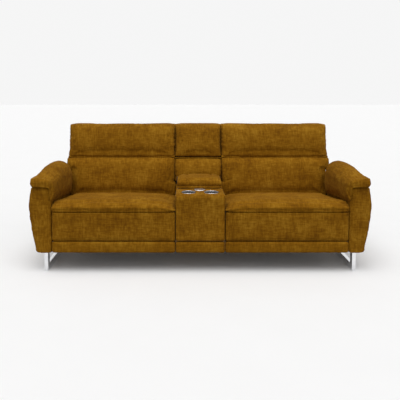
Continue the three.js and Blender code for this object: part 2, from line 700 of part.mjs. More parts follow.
const disc = { y: -250, radius: 39, high: 3 };
const deck = { thick: 12, front: -430, rear: -207 };
const deckTop = consoleFrame.top + fit.touch + deck.thick;
const cupSeat = deckTop - cups.lip - 2 * fit.touch; // floors of the sunk places for the flange and the disc
const discSeat = deckTop - disc.high - 2 * fit.touch;
function deckBoard() {
  const board = box(-consoleSide, consoleSide, deck.front, deck.rear, deckTop - deck.thick, deckTop);
  const above = deckTop + fit.overrun;
  const below = deckTop - deck.thick - fit.overrun;
  const bores = [-1, 1].flatMap((side) => [
    barZ(side * cups.x, cups.y, cups.inner + cups.wall + cups.play, below, above),
    barZ(side * cups.x, cups.y, cups.flange + cups.play, cupSeat, above),
  ]);
  return cut(board, ...bores, barZ(0, disc.y, disc.radius + cups.play, discSeat, above));
}
function cupHolder() {
  const { inner, wall, flange, lip, depth } = cups;
  const outer = inner + wall;
  const seat = fit.touch;
  return turned([
    [0, -depth], [outer, -depth], [outer, seat], [flange, seat], [flange, seat + lip / 2],
    [flange - lip / 2, seat + lip], [inner + lip / 2, seat + lip], [inner, seat], [inner, wall - depth],
    [0, wall - depth],
  ]);
}
function chargingDisc() {
  const { radius, high } = disc;
  return turned([[0, 0], [radius, 0], [radius, high / 2], [radius - high / 2, high], [0, high]]);
}
const lid = {
  half: 154, front: -204, boardUnder: 519.5, board: 12, padTop: 586, padRear: 50, round: 30,
  crown: 4, seam: 85, seamDip: 7, seamWide: 12, cornerLead: 5, // across the pad
  hingeY: 72, hingeZ: 538, hingeRound: 18, pin: 6, pinIn: 16,
  bracket: 5, bracketTop: 552, bracketDeep: 40, strip: 3, stripInset: 1,
};
function lidBoard() {
  const { half, front, boardUnder, board, hingeY, hingeZ, hingeRound, pin, pinIn } = lid;
  const flat = box(-half, half, front + board, hingeY, boardUnder, boardUnder + board);
  const knuckle = barX(hingeY, hingeZ, hingeRound, -half, half, roundSides);
  const bores = [-1, 1].map((side) => barX(
    hingeY, hingeZ, pin + fit.running, side * (half - pinIn - fit.overrun), side * (half + fit.overrun),
  ));
  return cut(join(flat, knuckle), ...bores);
}
const lidShares = {
  front: [[0.4, 0], [0.07, 0.15], [0, 0.5]], // in from the front, of the rounding, and up the pad's height
  top: [[0.25, 0.3], [0.9, 0.07]], // in from the front and down from the top, of the rounding
  rear: [[1, 0.07], [0.3, 0.35]], // in from the rear and down from the top
};
function lidPad() {
  const { half, front, boardUnder, board, padTop, padRear, seam, seamDip, seamWide, cornerLead, round } = lid;
  const under = boardUnder + board + fit.touch;
  const places = [-half, -half + cornerLead, -half + round, -seam - seamWide, -seam, -seam + seamWide, 0];
  const across = [...places, ...places.slice(0, -1).reverse().map((x) => -x)];
  const rings = across.map((x) => {
    const inset = drawIn(Math.min(1, (half - Math.abs(x)) / round), round * 0.55);
    const dip = Math.abs(x) === seam ? seamDip : 0;
    const top = padTop - inset - dip - lid.crown * (x / half) ** 2;
    const y0 = front + inset * 0.5;
    const y1 = padRear - inset * 0.3;
    const outline = [
      ...lidShares.front.map(([into, up]) => [y0 + round * into, under + (top - under) * up]),
      ...lidShares.top.map(([into, down]) => [y0 + round * into, top - round * down]),
      [(y0 + y1) / 2, top],
      ...lidShares.rear.map(([into, down]) => [y1 - round * into, top - round * down]),
      [y1, (under + top) / 2], [y1 - round / 4, under],
    ];
    return outline.map(([y, z]) => new THREE.Vector3(x, y, z));
  });
  return loft(rings);
}
function lidHinge() {
  const { half, hingeY, hingeZ, pin, pinIn, bracket, bracketTop, bracketDeep, hingeRound } = lid;
  const foot = consoleFrame.top + fit.touch;
  const y0 = hingeY - bracketDeep / 2;
  const y1 = hingeY + bracketDeep / 2;
  const stripHalf = consoleSide - lid.stripInset;
  const pieces = [box(-stripHalf, stripHalf, y0, y1, foot, foot + lid.strip)];
  for (const side of [-1, 1]) {
    const x0 = side * (half + fit.sideGap);
    const shape = new THREE.Shape();
    shape.moveTo(y0, foot);
    shape.lineTo(y1, foot);
    shape.lineTo(hingeY + hingeRound * 0.7, bracketTop);
    shape.lineTo(hingeY - hingeRound * 0.7, bracketTop);
    shape.closePath();
    pieces.push(plateX(shape, x0, x0 + side * bracket));
    pieces.push(barX(hingeY, hingeZ, pin, side * (half - pinIn), x0 + side * bracket));
  }
  return join(...pieces);
}

// Recline controls on the console's sides: a bezel with two push buttons
const controls = {
  front: -340, long: 92, high: 44, // the bezel's outline
  pocketFloor: 155.2, bezelIn: 155.6, bezelOut: 163.2, buttonIn: 157.4, buttonOut: 164.2, // from the middle
  button: 30, buttonHigh: 22, play: 0.5, spread: 20,
};
const bezelFoot = consoleFrame.top + fit.touch - controls.high;
const buttonMiddle = controls.front + controls.long / 2;
const buttonHeight = bezelFoot + controls.high / 2;
function bezel(side) {
  const { front, long, high, bezelIn, bezelOut, play } = controls;
  const plate = box(side * bezelIn, side * bezelOut, front, front + long, bezelFoot, bezelFoot + high);
  const over = fit.overrun;
  return cut(plate, ...[-1, 1].map((end) => buttonBlock(side, end, bezelIn - over, bezelOut + over, play)));
}
// A button's block between two distances from the middle, with play added round it
function buttonBlock(side, end, from, to, play) {
  const y = buttonMiddle + end * controls.spread;
  const halfLong = controls.button / 2 + play;
  const halfHigh = controls.buttonHigh / 2 + play;
  const [z0, z1] = [buttonHeight - halfHigh, buttonHeight + halfHigh];
  return box(side * from, side * to, y - halfLong, y + halfLong, z0, z1);
}
const pushButton = (side, end) => buttonBlock(side, end, controls.buttonIn, controls.buttonOut, 0);

// Sled legs: a flat bar bent into a closed frame under each arm, and one hidden foot in the middle
const sled = {
  x: armInner + arm.foot / 2, wide: 24, front: -392, rear: 222,
  bar: 42, runner: 44, top: 8, // the bar's depth in its uprights, along the floor and along the top
  corner: 10,
};
function sledLeg(side) {
  const { x, wide, front, rear, bar, runner, top, corner } = sled;
  const height = sofa.underside - fit.touch;
  const shape = new THREE.Shape();
  shape.moveTo(front + corner, 0);
  shape.lineTo(rear - corner, 0);
  shape.quadraticCurveTo(rear, 0, rear, corner);
  shape.lineTo(rear, height);
  shape.lineTo(front, height);
  shape.lineTo(front, corner);
  shape.quadraticCurveTo(front, 0, front + corner, 0);
  const inner = new THREE.Path();
  inner.moveTo(front + bar, runner);
  inner.lineTo(front + bar, height - top);
  inner.lineTo(rear - bar, height - top);
  inner.lineTo(rear - bar, runner);
  inner.closePath();
  shape.holes.push(inner);
  return plateX(shape, side * x - wide / 2, side * x + wide / 2);
}
const foot = { y: 60, base: 24, top: 30 };
function centreFoot() {
  const high = sofa.underside - fit.touch;
  const pad = new THREE.CylinderGeometry(foot.top, foot.base, high, roundSides).rotateX(Math.PI / 2);
  return pad.translate(0, foot.y, high / 2);
}
const supply = { long: 150, deep: 62, high: 38, y: 150, socket: 12 };
function powerSupply() {
  const { long, deep, high, y, socket } = supply;
  const top = consoleFrame.backCavityTop - fit.touch;
  const rear = y + deep / 2;
  const [z0, z1] = [top - (high + socket) / 2, top - (high - socket) / 2];
  const body = box(-long / 2, long / 2, y - deep / 2, rear, top - high, top);
  return cut(body, box(-socket, socket, rear - socket, rear + fit.overrun, z0, z1));
}

for (const side of [-1, 1]) {
  const hand = side < 0 ? 'left' : 'right';
  place(model, `arm_box_${hand}`, armBox(side), 'upholstery');
  place(model, `arm_pad_${hand}`, armPadShape(side), 'upholstery');
  place(model, `sled_leg_${hand}`, sledLeg(side), 'chrome');

  const seat = new THREE.Group();
  seat.position.x = side * seatCentre;
  model.add(seat);
  place(seat, `seat_cushion_${hand}`, seatCushion(), 'upholstery');
  place(seat, `seat_springs_${hand}`, seatSprings(), 'zincSteel');
  place(seat, `base_frame_${hand}`, baseFrame(), 'wood');
  place(seat, `valance_${hand}`, valanceRail(seatHalf - fit.seam / 2), 'upholstery');
  place(seat, `mechanism_frame_${hand}`, mechanismFrame(), 'blackSteel');
  place(seat, `back_shell_${hand}`, backShell(side), 'upholstery');
  place(seat, `headrest_shaft_${hand}`, headrestShaft(), 'zincSteel');
  place(seat, `headrest_frame_${hand}`, headrestFrame(), 'blackSteel');
  const lumbar = lumbarShape(sideWidth(side, back.lumbarOuter), back.lumbarFoot, back.steel + 2 * fit.touch);
  place(seat, `lumbar_cushion_${hand}`, lumbar, 'upholstery');
  const headrest = headrestShape(sideWidth(side, back.headOuter), back.headFoot, back.hardware + fit.touch);
  place(seat, `headrest_cushion_${hand}`, headrest, 'upholstery');

  const armGroup = rotatedGroup(footrest.pivotY, footrest.pivotZ, -footrest.armTilt * degrees);
  const linkGroup = rotatedGroup(kneeY, kneeZ, footrest.linkTilt * degrees);
  seat.add(armGroup, linkGroup);
  place(armGroup, `footrest_arm_${hand}`, footrestArm(), 'blackSteel');
  place(linkGroup, `footrest_link_${hand}`, footrestLink(), 'blackSteel');
  place(seat, `footrest_board_${hand}`, footrestBoard(), 'wood');
  place(seat, `footrest_pad_${hand}`, footrestPad(), 'upholstery');
  place(seat, `actuator_housing_${hand}`, actuatorHousing(), 'blackPlastic');
  place(seat, `actuator_rod_${hand}`, actuatorRod(), 'zincSteel');

  place(model, `control_bezel_${hand}`, bezel(side), 'blackPlastic');
  place(model, `recline_button_${hand}`, pushButton(side, -1), 'satinSteel');
  place(model, `return_button_${hand}`, pushButton(side, 1), 'satinSteel');

  const holder = place(model, `cup_holder_${hand}`, cupHolder(), 'satinSteel');
  holder.position.set(side * cups.x, cups.y, cupSeat);
}

const centreWidth = () => [-centreBack.half, centreBack.half];
place(model, 'console_body', consoleBody(), 'wood');
place(model, 'console_front', frontPanel({
  half: consoleSide, front: sofa.front, rear: consoleFrame.front - fit.touch, under: footPanel.under,
  top: consoleFrame.top, round: valance.round, bulge: valance.bulge,
}), 'upholstery');
place(model, 'console_valance', valanceRail(consoleSide), 'upholstery');
place(model, 'console_deck', deckBoard(), 'upholstery');
place(model, 'charging_disc', chargingDisc(), 'satinSteel').position.set(0, disc.y, discSeat + fit.touch);
place(model, 'lid_board', lidBoard(), 'wood');
place(model, 'lid_pad', lidPad(), 'upholstery');
place(model, 'lid_hinge', lidHinge(), 'blackSteel');
place(model, 'console_back_shell', shellShape(centreWidth, centreBack.foot), 'upholstery');
place(model, 'console_lumbar', lumbarShape(centreWidth, centreBack.foot, fit.touch), 'upholstery');
const headFoot = back.lumbarTop + fit.touch;
place(model, 'console_headrest', headrestShape(centreWidth, headFoot, fit.touch), 'upholstery');
place(model, 'centre_foot', centreFoot(), 'blackPlastic');
place(model, 'power_supply', powerSupply(), 'blackPlastic');

export default model;
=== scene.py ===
"""Reclining two-seat sofa with a centre console, dressed in brushed chenille on chrome sled legs.

Metres, in the CAD frame: X to the right, the front faces -Y, the floor is Z = 0.
"""
import json
import math

import bmesh
import bpy
import numpy as np
from mathutils import Matrix, Vector, noise


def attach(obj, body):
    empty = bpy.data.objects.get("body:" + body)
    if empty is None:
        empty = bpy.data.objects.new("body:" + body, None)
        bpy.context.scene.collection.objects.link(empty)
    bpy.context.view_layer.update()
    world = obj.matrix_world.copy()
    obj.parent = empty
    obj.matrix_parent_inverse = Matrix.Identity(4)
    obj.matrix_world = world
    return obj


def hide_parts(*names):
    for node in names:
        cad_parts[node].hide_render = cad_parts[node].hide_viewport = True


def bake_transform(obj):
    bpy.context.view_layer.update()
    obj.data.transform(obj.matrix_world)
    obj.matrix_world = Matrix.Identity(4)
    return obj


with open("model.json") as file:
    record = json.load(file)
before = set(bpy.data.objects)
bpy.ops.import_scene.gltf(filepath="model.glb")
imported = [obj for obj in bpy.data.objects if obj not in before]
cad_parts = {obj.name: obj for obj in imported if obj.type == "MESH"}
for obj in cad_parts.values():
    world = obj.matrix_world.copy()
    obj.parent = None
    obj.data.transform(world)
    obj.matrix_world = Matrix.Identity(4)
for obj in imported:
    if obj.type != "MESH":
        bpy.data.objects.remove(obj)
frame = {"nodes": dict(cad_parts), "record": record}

scene = bpy.context.scene
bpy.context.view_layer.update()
nodes = frame["nodes"]


# Mesh helpers
X, Y, Z = 0, 1, 2
RELAX_SHARE = 0.5  # how far each smoothing round moves a vertex towards its neighbours' middle
BOX_FACES = [(0, 1, 3, 2), (4, 6, 7, 5), (0, 4, 5, 1), (2, 3, 7, 6), (0, 2, 6, 4), (1, 5, 7, 3)]


def coords(obj):
    """Vertex places as an n x 3 array."""
    flat = np.zeros(len(obj.data.vertices) * 3)
    obj.data.vertices.foreach_get("co", flat)
    return flat.reshape(-1, 3)


def set_coords(obj, places):
    """Moves the vertices to these places."""
    obj.data.vertices.foreach_set("co", np.ascontiguousarray(places).ravel())
    obj.data.update()


def normals(obj):
    """Vertex normals as an n x 3 array."""
    flat = np.zeros(len(obj.data.vertices) * 3)
    obj.data.vertex_normals.foreach_get("vector", flat)
    return flat.reshape(-1, 3)


def new_object(name, mesh):
    """Puts a mesh in the scene as an object."""
    obj = bpy.data.objects.new(name, mesh)
    scene.collection.objects.link(obj)
    return obj


def mesh_object(name, places, faces):
    """An object from vertex places and faces of vertex numbers."""
    mesh = bpy.data.meshes.new(name)
    mesh.from_pydata([tuple(p) for p in places], [], faces)
    mesh.validate()
    mesh.update()
    return new_object(name, mesh)


def smooth_shaded(obj):
    """Turns smooth shading on for every face."""
    obj.data.polygons.foreach_set("use_smooth", [True] * len(obj.data.polygons))
    return obj


def from_cad(name, *sources):
    """One object with copies of the meshes of these CAD nodes."""
    places, faces = [], []
    for source in sources:
        first = len(places)
        mesh = nodes[source].data
        places += [v.co.copy() for v in mesh.vertices]
        faces += [[first + i for i in p.vertices] for p in mesh.polygons]
    return mesh_object(name, places, faces)


def boxes(name, *corners):
    """Plain slabs given by their (low, high) corners, joined in one object."""
    places, faces = [], []
    for low, high in corners:
        first = len(places)
        xs, ys, zs = zip(low, high)
        places += [(x, y, z) for x in xs for y in ys for z in zs]
        faces += [[first + i for i in face] for face in BOX_FACES]
    return mesh_object(name, places, faces)


def baked(obj):
    """Puts what the modifiers make into the object's own mesh."""
    graph = bpy.context.evaluated_depsgraph_get()
    mesh = bpy.data.meshes.new_from_object(obj.evaluated_get(graph))
    obj.modifiers.clear()
    old = obj.data
    obj.data = mesh
    bpy.data.meshes.remove(old)
    mesh.name = obj.name
    return obj


def remeshed(obj, voxel):
    """Rebuilds the surface from even cells, voxel metres wide."""
    step = obj.modifiers.new("Remesh", "REMESH")
    step.mode = "VOXEL"
    step.voxel_size = voxel
    return baked(obj)


def relaxed(obj, rounds):
    """Smooths the surface. More rounds give rounder edges."""
    step = obj.modifiers.new("Relax", "SMOOTH")
    step.iterations = rounds
    step.factor = RELAX_SHARE
    return baked(obj)


def subdivided(obj):
    """Splits every face in four and rounds the result."""
    step = obj.modifiers.new("Subdivide", "SUBSURF")
    step.levels = step.render_levels = 1
    return baked(obj)


def mirrored(obj, name):
    """The same piece on the other side of the sofa."""
    other = new_object(name, obj.data.copy())
    other.data.transform(Matrix.Diagonal((-1, 1, 1, 1)))
    other.data.flip_normals()
    return other


# Soft forms
PUFF_FRAMES = 20
LEVELS = 39  # slices by height that an end is slid in
EVENING = (0.1, 0.2, 0.4, 0.2, 0.1)  # weights that even out neighbouring slices
FREE = (None, None, None)
NONE = (0, 0, 0)
FAR = 1.0  # stands for "not near this seam"


def eased(share):
    """A share between 0 and 1 that starts and ends gently."""
    return share * share * (3 - 2 * share)


def puffed(obj, pressure, cap, inward=0.2):
    """Blows the piece up like a stuffed cover.

    No point moves farther than the cap, and only a share of what would draw it inward is kept.
    """
    if not pressure:
        return obj
    start = coords(obj)
    facing = normals(obj)
    step = obj.modifiers.new("Cloth", "CLOTH")
    cloth = step.settings
    cloth.use_pressure = True
    cloth.uniform_pressure_force = pressure
    cloth.effector_weights.gravity = 0
    cloth.quality = 4
    step.point_cache.frame_start = 1
    step.point_cache.frame_end = PUFF_FRAMES
    for number in range(1, PUFF_FRAMES + 1):
        scene.frame_set(number)
    graph = bpy.context.evaluated_depsgraph_get()
    shaped = obj.evaluated_get(graph)
    moved = coords(shaped) - start
    obj.modifiers.clear()
    scene.frame_set(1)
    outward = np.sum(moved * facing, axis=1, keepdims=True)
    moved -= facing * np.minimum(outward, 0) * (1 - inward)
    length = np.linalg.norm(moved, axis=1, keepdims=True)
    share = cap * np.tanh(length / cap) / np.maximum(length, 1e-9)
    set_coords(obj, start + moved * share)
    return obj


def kept_inside(obj, low, high):
    """Flattens the piece where it rests on its neighbours. None leaves a side free."""
    places = coords(obj)
    for axis in range(3):
        places[:, axis] = np.clip(
            places[:, axis],
            -np.inf if low[axis] is None else low[axis],
            np.inf if high[axis] is None else high[axis],
        )
    set_coords(obj, places)
    return obj


def fitted(obj, low, high):
    """Stretches the piece so that its box runs from low to high."""
    places = coords(obj)
    first, last = places.min(0), places.max(0)
    low, high = np.array(low), np.array(high)
    set_coords(obj, low + (places - first) / (last - first) * (high - low))
    return obj


def reached(obj, axis, side, target, depth=0.05, fade=(0.012, 0.012)):
    """Slides one end of a piece along an axis, level by level, until it reaches target(z).

    side is 1 for the high end and -1 for the low end. depth is how much of the piece is stretched. fade
    gives how far from the foot and from the top the levels keep some of their rounding. Levels where
    target(z) is not a number stay as they are.
    """
    places = coords(obj)
    x, z = places[:, axis] * side, places[:, Z]
    edges = np.linspace(z.min(), z.max() + 1e-6, LEVELS + 1)
    level = np.digitize(z, edges) - 1
    furthest = np.array([x[level == k].max() if np.any(level == k) else np.nan for k in range(LEVELS)])
    middles = (edges[1:] + edges[:-1]) / 2
    known = ~np.isnan(furthest)
    even = np.convolve(np.pad(furthest[known], len(EVENING) // 2, "edge"), EVENING, "valid")
    now = np.interp(z, middles[known], even)
    near_end = np.clip((x - now + depth) / depth, 0, 1)
    kept = np.clip(np.minimum((z - z.min()) / fade[0], (z.max() - z) / fade[1]), 0, 1)
    share = eased(near_end) * kept
    goal = target(z)
    goal = np.where(np.isnan(goal), side * now, goal)
    places[:, axis] += share * (goal - side * now)
    set_coords(obj, places)
    return obj


def level_line(*points):
    """A place as a function of z, straight between (z, place) points."""
    levels, values = zip(*points)
    return lambda z: np.interp(z, levels, values)


def curve_line(*points):
    """A place as a function of z, on one smooth curve near (z, place) points."""
    levels, values = zip(*points)
    terms = np.polyfit(levels, values, 3)
    return lambda z: np.polyval(terms, z)


def creased(obj, distance, depth, width):
    """Draws the cover in along a seam. distance is each vertex's distance to it."""
    pull = depth * np.exp(-((distance / width) ** 2))
    set_coords(obj, coords(obj) - normals(obj) * pull[:, None])
    return obj


def rumpled(obj, size, height, seed):
    """Soft hollows and rises of a stuffed cover."""
    places = coords(obj)
    shift = Vector((seed * 3.1, seed * 1.7, seed * 2.3))
    rise = np.array([noise.noise(Vector(p) / size + shift) for p in places])
    set_coords(obj, places + normals(obj) * (rise * height)[:, None])
    return obj


# Materials
def material(name, roughness, metallic=0.0, **constants):
    """An empty material with its shader. constants are set on the shader's own sockets."""
    made = bpy.data.materials.new(name)
    made.use_nodes = True
    tree = made.node_tree
    shader = next(n for n in tree.nodes if n.type == "BSDF_PRINCIPLED")
    shader.inputs["Roughness"].default_value = roughness
    shader.inputs["Metallic"].default_value = metallic
    for socket, value in constants.items():
        shader.inputs[socket.replace("_", " ")].default_value = value
    return made, tree, shader


def node(tree, kind, inputs=None, **settings):
    """Adds a node. An input is a number, a colour, or a socket to link from."""
    made = tree.nodes.new(kind)
    for key, value in settings.items():
        setattr(made, key, value)
    for key, value in (inputs or {}).items():
        if isinstance(value, bpy.types.NodeSocket):
            tree.links.new(value, made.inputs[key])
        else:
            made.inputs[key].default_value = value
    return made


EVEN = (1, 1, 1)  # noise that isn't drawn out along an axis


def object_places(tree, stretch):
    """Coordinates on the object, in metres, scaled per axis."""
    where = node(tree, "ShaderNodeTexCoord").outputs["Object"]
    return node(tree, "ShaderNodeMapping", {"Vector": where, "Scale": stretch}).outputs["Vector"]


def grain(tree, stretch, scale=1.0, detail=3.0, roughness=0.55):
    """Noise between 0 and 1."""
    places = object_places(tree, stretch)
    inputs = {"Vector": places, "Scale": scale, "Detail": detail, "Roughness": roughness}
    return node(tree, "ShaderNodeTexNoise", inputs).outputs["Fac"]


def blend_of(tree, parts):
    """Weighted sum of noises, given as (socket, weight) pairs."""
    total = None
    for socket, weight in parts:
        scaled = node(tree, "ShaderNodeMath", {0: socket, 1: weight}, operation="MULTIPLY").outputs[0]
        if total is None:
            total = scaled
        else:
            total = node(tree, "ShaderNodeMath", {0: total, 1: scaled}, operation="ADD").outputs[0]
    return total


def toned(tree, shader, value, tones):
    """Colours the shader by a value, through (place, colour) tones."""
    ramp = node(tree, "ShaderNodeValToRGB", {"Fac": value})
    stops = ramp.color_ramp.elements
    while len(stops) < len(tones):
        stops.new(0.5)
    for stop, (place, colour) in zip(stops, tones):
        stop.position = place
        stop.color = (*colour, 1)
    tree.links.new(ramp.outputs["Color"], shader.inputs["Base Color"])


def embossed(tree, shader, height, strength, distance):
    """Bumps the surface by a value. distance is the relief's height in metres."""
    bump = node(tree, "ShaderNodeBump", {"Height": height, "Strength": strength, "Distance": distance})
    tree.links.new(bump.outputs["Normal"], shader.inputs["Normal"])


def varied_roughness(tree, shader, value, low, high):
    """Lets the roughness follow a value."""
    spread = node(tree, "ShaderNodeMapRange", {"Value": value, "To Min": low, "To Max": high})
    tree.links.new(spread.outputs["Result"], shader.inputs["Roughness"])


# The cloth's shades, from its hollows to its highest threads
OCHRE_DARK = (0.128, 0.048, 0.0012)
OCHRE = (0.215, 0.090, 0.0030)
OCHRE_LIGHT = (0.335, 0.165, 0.012)


def chenille():
    """Brushed mustard chenille: soft blotches, slubs along both threads and fine nubs."""
    made, tree, shader = material(
        "chenille", 0.93, Sheen_Weight=0.06, Sheen_Roughness=0.45, Sheen_Tint=(1.0, 0.62, 0.16, 1),
        Specular_IOR_Level=0.08,
    )
    blotch = grain(tree, EVEN, scale=7, detail=5, roughness=0.62)
    # one thread's noise is drawn out along X, the other's along Y and Z
    weft = grain(tree, (22, 115, 115), detail=3, roughness=0.6)
    warp = grain(tree, (115, 24, 24), detail=3, roughness=0.6)
    nub = grain(tree, EVEN, scale=520, detail=2)
    value = blend_of(tree, [(blotch, 0.36), (weft, 0.26), (warp, 0.30), (nub, 0.08)])
    toned(tree, shader, value, [(0.38, OCHRE_DARK), (0.5, OCHRE), (0.63, OCHRE_LIGHT)])
    ribs = grain(tree, (120, 620, 620), detail=2)
    relief = blend_of(tree, [(weft, 0.25), (warp, 0.25), (nub, 0.3), (ribs, 0.2)])
    embossed(tree, shader, relief, 0.55, 0.0022)
    return made


def plywood():
    """Raw plywood with a fine fleck along its grain."""
    made, tree, shader = material("plywood", 0.78)
    rings = grain(tree, (3, 60, 60), detail=5, roughness=0.6)
    fleck = grain(tree, (20, 240, 240), detail=2)
    value = blend_of(tree, [(rings, 0.7), (fleck, 0.3)])
    tones = [(0.35, (0.30, 0.18, 0.085)), (0.52, (0.43, 0.28, 0.14)), (0.68, (0.56, 0.39, 0.21))]
    toned(tree, shader, value, tones)
    embossed(tree, shader, fleck, 0.25, 0.0006)
    return made


def painted_steel():
    """Black paint with a slight orange peel."""
    made, tree, shader = material("painted_steel", 0.48, Specular_IOR_Level=0.45)
    haze = grain(tree, EVEN, scale=24, detail=4)
    peel = grain(tree, EVEN, scale=900, detail=1)
    toned(tree, shader, haze, [(0.35, (0.013, 0.013, 0.014)), (0.65, (0.026, 0.026, 0.028))])
    varied_roughness(tree, shader, haze, 0.4, 0.58)
    embossed(tree, shader, peel, 0.12, 0.0004)
    return made


def zinc_plate():
    """Plated steel with cloudy patches."""
    made, tree, shader = material("zinc_plate", 0.35, metallic=1.0)
    haze = grain(tree, EVEN, scale=45, detail=5, roughness=0.7)
    toned(tree, shader, haze, [(0.35, (0.33, 0.34, 0.35)), (0.65, (0.50, 0.51, 0.50))])
    varied_roughness(tree, shader, haze, 0.28, 0.5)
    embossed(tree, shader, haze, 0.08, 0.0005)
    return made


def polished_chrome():
    """Chrome with faint smears."""
    made, tree, shader = material("polished_chrome", 0.12, metallic=1.0)
    smear = grain(tree, EVEN, scale=18, detail=4)
    toned(tree, shader, smear, [(0.3, (0.74, 0.75, 0.77)), (0.7, (0.86, 0.87, 0.88))])
    varied_roughness(tree, shader, smear, 0.08, 0.2)
    return made


def satin_metal():
    """Brushed metal."""
    made, tree, shader = material("satin_metal", 0.3, metallic=1.0)
    brush = grain(tree, (40, 900, 900), detail=2)
    toned(tree, shader, brush, [(0.3, (0.60, 0.60, 0.62)), (0.7, (0.78, 0.78, 0.80))])
    varied_roughness(tree, shader, brush, 0.22, 0.38)
    embossed(tree, shader, brush, 0.06, 0.0003)
    return made


def moulded_plastic():
    """Black plastic with a pebbled surface."""
    made, tree, shader = material("moulded_plastic", 0.5)
    pebble = grain(tree, EVEN, scale=1400, detail=1)
    haze = grain(tree, EVEN, scale=30, detail=3)
    toned(tree, shader, haze, [(0.35, (0.010, 0.010, 0.011)), (0.65, (0.018, 0.018, 0.020))])
    varied_roughness(tree, shader, haze, 0.42, 0.6)
    embossed(tree, shader, pebble, 0.25, 0.0003)
    return made


looks = {
    "upholstery": chenille(),
    "wood": plywood(),
    "black_steel": painted_steel(),
    "zinc_steel": zinc_plate(),
    "chrome": polished_chrome(),
    "satin_steel": satin_metal(),
    "black_plastic": moulded_plastic(),
}


SHARP = 52  # edges that turn by more degrees than this stay crisp


def dressed(obj, slot):
    """Gives the object the one material of its slot."""
    obj.data.materials.clear()
    obj.data.materials.append(looks[slot])
    obj.data.set_sharp_from_angle(angle=math.radians(SHARP))
    return obj


# Stage, light and camera
PAPER = (0.918, 0.918, 0.918)
FLOOR = (0.897, 0.897, 0.897)
BOUNCE = (0.34, 0.33, 0.32)  # what the floor throws back at the object
AMBIENT = 0.27


def seen_or_else(tree, seen, otherwise, output):
    """Camera, mirror and glass rays meet one surface, and all other rays the other."""
    path = node(tree, "ShaderNodeLightPath").outputs
    looks_at = path["Is Camera Ray"]
    for ray in ("Is Glossy Ray", "Is Transmission Ray"):
        looks_at = node(tree, "ShaderNodeMath", {0: looks_at, 1: path[ray]}, operation="MAXIMUM").outputs[0]
    chosen = node(tree, "ShaderNodeMixShader", {0: looks_at, 1: otherwise, 2: seen})
    out = next(n for n in tree.nodes if n.type == output)
    tree.links.new(chosen.outputs[0], out.inputs["Surface"])


def stage():
    """A pale floor, and a world that camera, mirror and glass rays see as the same paper."""
    span = 40.0
    floor = mesh_object(
        "floor", [(-span, -span, 0), (span, -span, 0), (span, span, 0), (-span, span, 0)], [(0, 1, 2, 3)],
    )
    made, tree, shader = material("floor_paper", 0.9)
    fleck = grain(tree, EVEN, scale=3, detail=2)
    toned(tree, shader, fleck, [(0.3, tuple(c * 0.99 for c in FLOOR)), (0.7, FLOOR)])
    matt = node(tree, "ShaderNodeBsdfDiffuse", {"Color": (*BOUNCE, 1)})
    seen_or_else(tree, shader.outputs[0], matt.outputs[0], "OUTPUT_MATERIAL")
    floor.data.materials.append(made)

    world = bpy.data.worlds.new("studio")
    world.use_nodes = True
    scene.world = world
    tree = world.node_tree
    ambient = next(n for n in tree.nodes if n.type == "BACKGROUND")
    ambient.inputs["Color"].default_value = (1.0, 1.0, 1.0, 1)
    ambient.inputs["Strength"].default_value = AMBIENT
    paper = node(tree, "ShaderNodeBackground", {"Color": (*PAPER, 1), "Strength": 1.0})
    seen_or_else(tree, paper.outputs[0], ambient.outputs[0], "OUTPUT_WORLD")


def soft_sun(name, strength, spread, tilt, turn):
    """A wide soft light, with its angles in degrees.

    tilt is from overhead towards the viewer, turn is round to the right.
    """
    light = bpy.data.lights.new(name, "SUN")
    light.energy = strength
    light.angle = math.radians(spread)
    lamp = bpy.data.objects.new(name, light)
    lamp.rotation_euler = (math.radians(tilt), 0, math.radians(turn))
    scene.collection.objects.link(lamp)


def photographed_from_the_front():
    """A camera at the photograph's point of view."""
    focus, width = 520.257, 400  # focal length and picture width, both in the photograph's pixels
    sensor = 36
    downward = 4
    lens = bpy.data.cameras.new("camera")
    lens.lens = focus * sensor / width
    lens.sensor_width = sensor
    lens.shift_x = 0.0372
    lens.shift_y = -0.1831
    eye = bpy.data.objects.new("camera", lens)
    eye.location = (-0.0990, -3.7631, 1.1931)
    eye.rotation_euler = (math.radians(90 - downward), 0, 0)
    scene.collection.objects.link(eye)
    scene.camera = eye


stage()
soft_sun("key", strength=2.05, spread=58, tilt=18, turn=-12)
soft_sun("fill", strength=1.10, spread=110, tilt=66, turn=12)
photographed_from_the_front()
scene.view_settings.view_transform = "Standard"


# Upholstered pieces of the two seats
SIDES = ("left", "right")


def upholstered(name, *sources, voxel, rounds, pressure, cap=0.012, grow=(NONE, NONE), low=FREE, high=FREE,
                held=None, reach=(), seams=(), rumple=0.0012, seed):
    """A stuffed cover grown from the CAD forms it replaces.

    Its box is theirs, moved out by grow at the low and high sides. held(places) marks the points that rest
    on a neighbour, reach lists what reached() gets, and each seam is (distance, depth, width).
    """
    obj = remeshed(from_cad(name, *sources), voxel)
    box_low, box_high = coords(obj).min(0), coords(obj).max(0)
    resting = coords(obj)
    fixed = held(resting) if held else np.zeros(len(resting), bool)
    relaxed(obj, rounds)
    puffed(obj, pressure, cap)
    places = coords(obj)
    places[fixed] = resting[fixed]
    set_coords(obj, places)
    fitted(obj, box_low - np.array(grow[0]), box_high + np.array(grow[1]))
    for where in reach:
        reached(obj, *where)
    subdivided(obj)
    if rumple:
        rumpled(obj, 0.11, rumple, seed)
    for distance, depth, width in seams:
        creased(obj, distance(coords(obj)), depth, width)
    kept_inside(obj, low, high)
    return smooth_shaded(obj)


def placed(obj, body, slot, *replaced, fill=None):
    """Dresses a finished piece, hangs it on the body it rides on, and hides the CAD parts it stands for."""
    dressed(obj, slot)
    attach(obj, body)
    if replaced:
        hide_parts(*replaced)
    return obj


